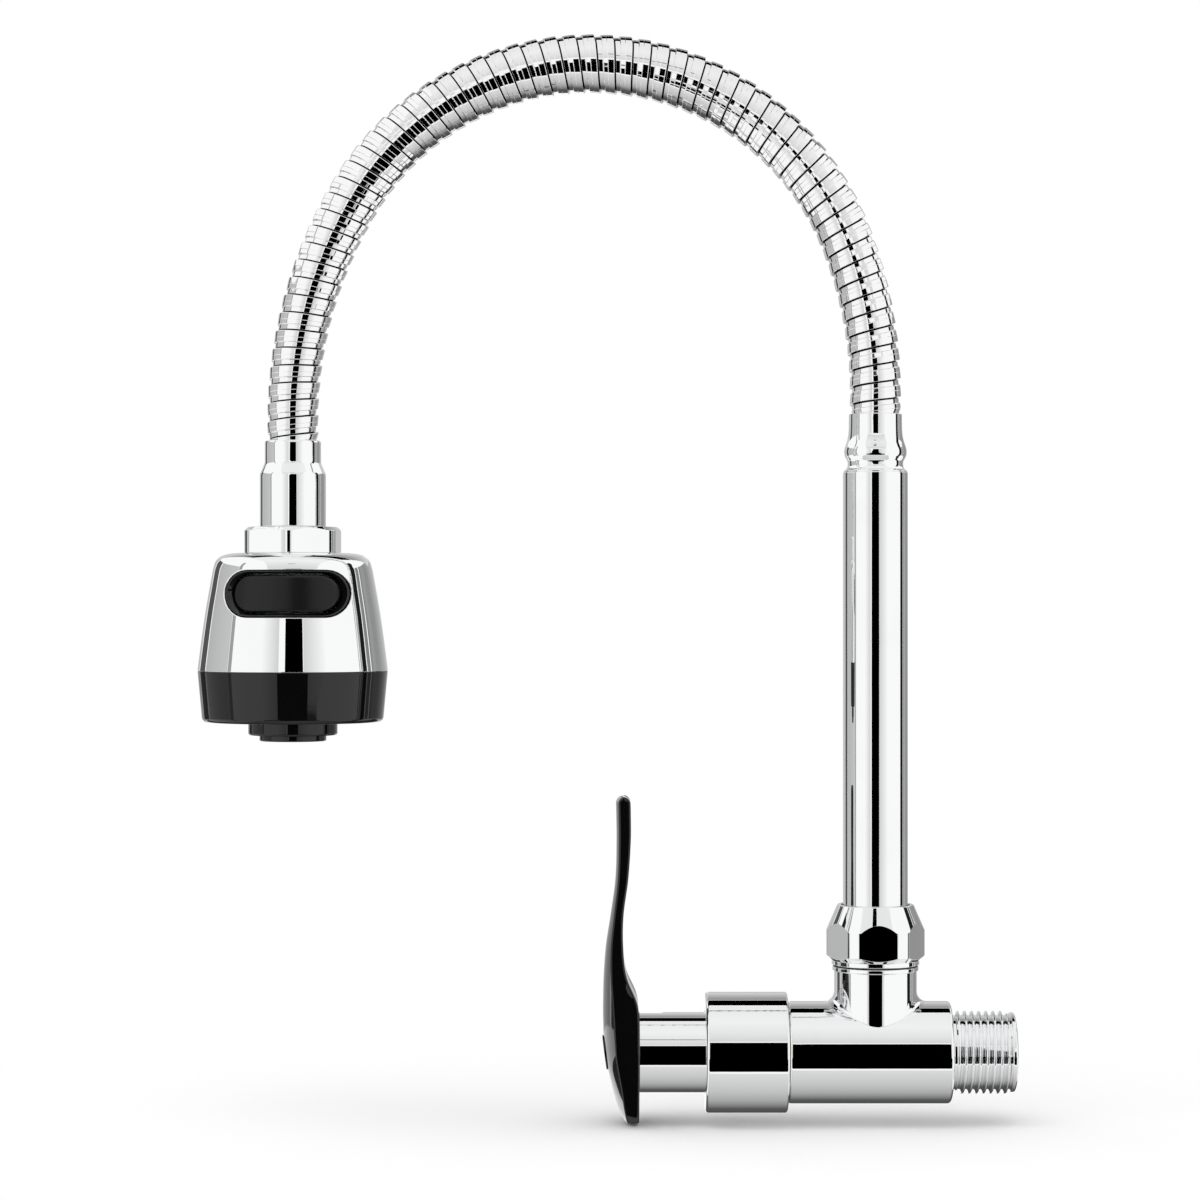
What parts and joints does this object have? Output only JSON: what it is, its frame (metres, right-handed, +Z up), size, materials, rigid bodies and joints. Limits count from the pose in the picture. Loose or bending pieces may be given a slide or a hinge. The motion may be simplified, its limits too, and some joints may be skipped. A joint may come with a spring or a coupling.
{
  "type": "kitchen faucet",
  "caption": "Wall-fed cold-water kitchen faucet with a side lever, a riser tube, a flexible gooseneck hose and a two-way spray head with a rocker button.",
  "frame": {"origin": "on the barrel axis, at the shoulder that meets the wall", "axes": "+X along the inlet into the wall, +Z up the riser, the lever and the spout on the -X side"},
  "size_m": [0.208, 0.0484, 0.2771],
  "materials": {
    "chrome": "bright polished plating",
    "hose_chrome": "bright plating with fine draw lines",
    "black_gloss": "deep gloss black with faint orange peel",
    "black_satin": "black with a soft sheen",
    "core_plastic": "natural moulded plastic",
    "brass": "machined brass",
    "ceramic": "lapped white ceramic",
    "rubber": "black sealing rubber",
    "soft_rubber": "grey silicone with a matte skin",
    "steel": "plain stainless steel"
  },
  "bodies": {
    "valve": {"valve_body": "chrome", "bonnet_collar": "chrome", "cartridge_housing": "brass", "seat_gasket": "rubber", "seat_disc": "ceramic", "housing_o_ring": "rubber", "spout_nut": "chrome", "slip_ring": "core_plastic"},
    "handle": {"lever": "black_gloss", "handle_hub": "chrome", "handle_screw": "steel", "index_cap": "black_gloss", "spindle": "brass", "turning_disc": "ceramic", "spindle_o_rings": "rubber"},
    "spout": {"spout_tube": "chrome", "spout_tail": "brass", "spout_o_rings": "rubber", "hose_ferrule_lower": "chrome", "hose_barb_lower": "brass", "hose_section_01": "hose_chrome", "water_tube_01": "rubber"},
    "hose_02": {"hose_section_02": "hose_chrome", "water_tube_02": "rubber"},
    "hose_03": {"hose_section_03": "hose_chrome", "water_tube_03": "rubber"},
    "hose_04": {"hose_section_04": "hose_chrome", "water_tube_04": "rubber"},
    "hose_05": {"hose_section_05": "hose_chrome", "water_tube_05": "rubber"},
    "hose_06": {"hose_section_06": "hose_chrome", "water_tube_06": "rubber"},
    "hose_07": {"hose_section_07": "hose_chrome", "water_tube_07": "rubber"},
    "hose_08": {"hose_section_08": "hose_chrome", "water_tube_08": "rubber"},
    "hose_09": {"hose_section_09": "hose_chrome", "water_tube_09": "rubber"},
    "hose_10": {"hose_section_10": "hose_chrome", "water_tube_10": "rubber", "hose_ferrule_upper": "chrome", "head_connector": "brass"},
    "head": {"head_nut": "chrome", "head_washer": "rubber", "head_core": "core_plastic", "head_shell": "chrome", "button_bezel": "black_gloss", "rocker_pin": "steel", "face_ring": "black_gloss", "spray_plate": "black_satin", "nozzle_pad": "soft_rubber", "aerator_housing": "black_satin", "aerator_screen": "black_satin"},
    "rocker": {"rocker_button": "black_satin"},
    "diverter": {"diverter_spool": "core_plastic"}
  },
  "joints": [
    {"name": "handle_turn", "type": "hinge", "parent": "valve", "child": "handle", "pos_m": [0, 0, 0], "axis": [1, 0, 0], "range_deg": [0, 90]},
    {"name": "spout_swivel", "type": "hinge", "parent": "valve", "child": "spout", "pos_m": [-0.01906, 0, 0.031], "axis": [0, 0, 1], "continuous": true},
    {"name": "hose_bend_01", "type": "hinge", "parent": "spout", "child": "hose_02", "pos_m": [-0.02144, 0, 0.1904], "axis": [0, -1, 0], "range_deg": [-10, 5]},
    {"name": "hose_bend_02", "type": "hinge", "parent": "hose_02", "child": "hose_03", "pos_m": [-0.03029, 0, 0.21546], "axis": [0, -1, 0], "range_deg": [-10, 5]},
    {"name": "hose_sway_03", "type": "hinge", "parent": "hose_03", "child": "hose_04", "pos_m": [-0.04715, 0, 0.2359], "axis": [0.6371, 0, 0.7708], "range_deg": [-10, 10]},
    {"name": "hose_bend_04", "type": "hinge", "parent": "hose_04", "child": "hose_05", "pos_m": [-0.07041, 0, 0.24861], "axis": [0, -1, 0], "range_deg": [-10, 5]},
    {"name": "hose_bend_05", "type": "hinge", "parent": "hose_05", "child": "hose_06", "pos_m": [-0.09672, 0, 0.25177], "axis": [0, -1, 0], "range_deg": [-10, 5]},
    {"name": "hose_bend_06", "type": "hinge", "parent": "hose_06", "child": "hose_07", "pos_m": [-0.12232, 0, 0.24492], "axis": [0, -1, 0], "range_deg": [-10, 5]},
    {"name": "hose_sway_07", "type": "hinge", "parent": "hose_07", "child": "hose_08", "pos_m": [-0.14354, 0, 0.22904], "axis": [-0.7399, 0, 0.6727], "range_deg": [-10, 10]},
    {"name": "hose_bend_08", "type": "hinge", "parent": "hose_08", "child": "hose_09", "pos_m": [-0.15771, 0, 0.20659], "axis": [0, -1, 0], "range_deg": [-10, 5]},
    {"name": "hose_bend_09", "type": "hinge", "parent": "hose_09", "child": "hose_10", "pos_m": [-0.16567, 0, 0.1812], "axis": [0, -1, 0], "range_deg": [-10, 5]},
    {"name": "head_swivel", "type": "hinge", "parent": "hose_10", "child": "head", "pos_m": [-0.16753, 0, 0.13185], "axis": [0, 0, 1], "continuous": true},
    {"name": "rocker_tilt", "type": "hinge", "parent": "head", "child": "rocker", "pos_m": [-0.16753, -0.015, 0.11685], "axis": [0, 0, 1], "range_deg": [0, 12]},
    {"name": "diverter_slide", "type": "slide", "parent": "head", "child": "diverter", "axis": [1, 0, 0], "range_m": [-0.00314, 0]}
  ],
  "couplings": [
    {"joint": "rocker_tilt", "follows": "diverter_slide", "rad_per_m": -66.667}
  ]
}
